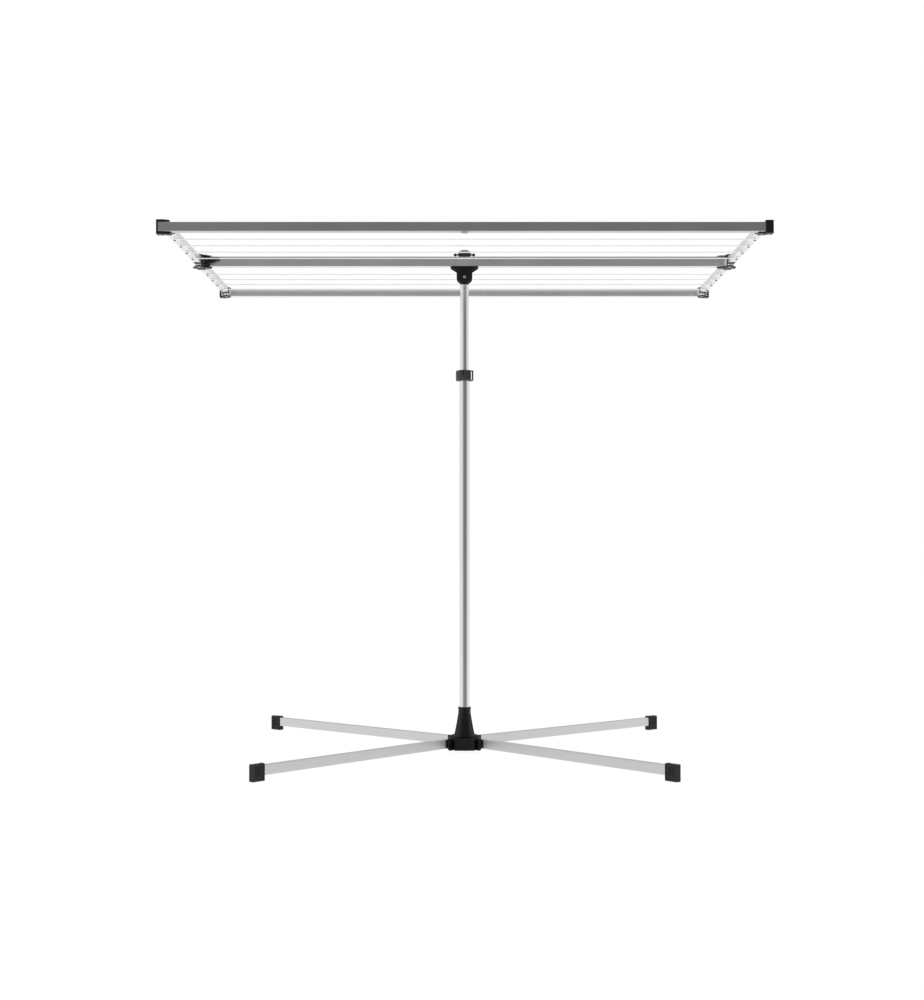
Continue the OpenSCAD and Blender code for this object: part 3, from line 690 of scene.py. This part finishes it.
def mid_details():
    """Screws and pin domes of the middle bar's brackets, and ridges on the lock lever."""
    screw_x = abs(JOINTS["front_wing_fold"]["pos_m"][0]) - 17 * MM
    places = []
    for end, sx in (("left", -1), ("right", 1)):
        low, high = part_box(f"mid_bracket_{end}")
        for z, up in ((high.z, 1), (low.z, -1)):
            places.append((Vector((sx * screw_x, 4 * MM, z)), Z * up))
    screws("mid_bracket_screws", "rack", places)
    pin_dome("rack_pins", "rack")
    low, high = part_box("lock_lever")
    pivot = joint_place("lock_lever_swing")
    face = pivot.y - 5.5 * MM
    slope_start, slope_length, tip_height = 7 * MM, 28 * MM, 7 * MM
    rise = (high.z - low.z - tip_height) / slope_length
    first, pitch, inset = 12, 3.6, 1.5 * MM
    bm = bmesh.new()
    for step in range(5):
        back = (first + pitch * step) * MM
        at = Vector((pivot.x + back, face, 0))
        bottom = low.z + (back - slope_start) * rise + inset
        rib(bm, at + Z * bottom, at + Z * (high.z - inset), -Y, 1.5 * MM, 0.8 * MM)
    piece("lock_lever_ridges", bm, "black_plastic", "lock_lever", 0.15 * MM)


for wing, sign in WINGS:
    for side in ("left", "right"):
        arm_details(wing, sign, side)
    for number in range(1, 5):
        line_details(wing, number)
    bar_details(wing)
mid_details()


# ---------------------------------------------------------------- light and camera

def make_stage():
    """A plain white floor for the camera; the room itself gives the light from below."""
    mesh = bpy.data.meshes.new("floor")
    half = 40.0
    corners = [(-half, -half, 0), (half, -half, 0), (half, half, 0), (-half, half, 0)]
    mesh.from_pydata(corners, [], [(0, 1, 2, 3)])
    floor = bpy.data.objects.new("floor", mesh)
    bpy.context.scene.collection.objects.link(floor)
    floor.location.z = -0.0005
    floor.visible_diffuse = False
    floor.visible_glossy = False
    floor.visible_transmission = False
    material = bpy.data.materials.new("floor")
    material.use_nodes = True
    shader = material.node_tree.nodes["Principled BSDF"]
    shader.inputs["Base Color"].default_value = (0.1, 0.1, 0.1, 1)
    shader.inputs["Roughness"].default_value = 1.0
    shader.inputs["Specular IOR Level"].default_value = 0.0
    shader.inputs["Emission Color"].default_value = (1, 1, 1, 1)
    shader.inputs["Emission Strength"].default_value = 0.95
    mesh.materials.append(material)


def make_world():
    """A white studio: an even backdrop for the camera, and a soft room that lights the object.

    The room is dim in front, bright at the sides, dimmer behind and overhead, and brightest
    below. Its strengths are fitted to the photo's greys.
    """
    world = bpy.data.worlds.new("studio")
    bpy.context.scene.world = world
    world.use_nodes = True
    nodes, links = world.node_tree.nodes, world.node_tree.links
    place = nodes.new("ShaderNodeTexCoord")

    def ramp(direction, start, end, low, high):
        """Strength from low to high as the cosine with a direction goes from start to end."""
        along = nodes.new("ShaderNodeVectorMath")
        along.operation = "DOT_PRODUCT"
        along.inputs[1].default_value = Vector(direction).normalized()
        links.new(place.outputs["Generated"], along.inputs[0])
        node = nodes.new("ShaderNodeMapRange")
        node.interpolation_type = "SMOOTHSTEP"
        set_range(node, start, end, low, high)
        links.new(along.outputs["Value"], node.inputs["Value"])
        return node.outputs["Result"]

    def total(a, b):
        node = nodes.new("ShaderNodeMath")
        node.operation = "ADD"
        links.new(a, node.inputs[0])
        links.new(b, node.inputs[1])
        return node.outputs["Value"]

    front = ramp((-0.2, 1, 0), -0.97, -0.35, 0.205, 0.92)
    back = ramp((0, 1, 0), 0.55, 0.95, 0.0, -0.22)
    above = ramp((0, 0, 1), 0.35, 0.9, 0.0, -0.24)
    near_floor = ramp((0, 0, -1), 0.02, 0.22, 0.0, 0.16)
    below = ramp((0, 0, -1), 0.25, 0.85, 0.0, 0.26)
    room = nodes.new("ShaderNodeBackground")
    strength = total(total(total(front, back), above), total(near_floor, below))
    links.new(strength, room.inputs["Strength"])
    backdrop = nodes.new("ShaderNodeBackground")
    for light in (room, backdrop):
        light.inputs["Color"].default_value = (1, 1, 1, 1)
    backdrop.inputs["Strength"].default_value = 1.0
    rays = nodes.new("ShaderNodeLightPath")
    mix = nodes.new("ShaderNodeMixShader")
    links.new(rays.outputs["Is Camera Ray"], mix.inputs["Fac"])
    links.new(room.outputs["Background"], mix.inputs[1])
    links.new(backdrop.outputs["Background"], mix.inputs[2])
    links.new(mix.outputs["Shader"], nodes["World Output"].inputs["Surface"])


def make_camera():
    """A camera in front of the stand, below the rack and turned up a little, to fit the photo."""
    distance, height, pitch, aside = 4.814, 0.620, 1.58, -0.0075
    camera = bpy.data.cameras.new("camera")
    camera.sensor_width = 36.0
    camera.lens = 57.46
    camera.clip_end = 200
    obj = bpy.data.objects.new("camera", camera)
    bpy.context.scene.collection.objects.link(obj)
    obj.location = (aside, -distance, height)
    obj.rotation_euler = (math.radians(90 + pitch), 0, 0)
    bpy.context.scene.camera = obj


make_stage()
make_world()
make_camera()
bpy.context.scene.view_settings.view_transform = "Standard"
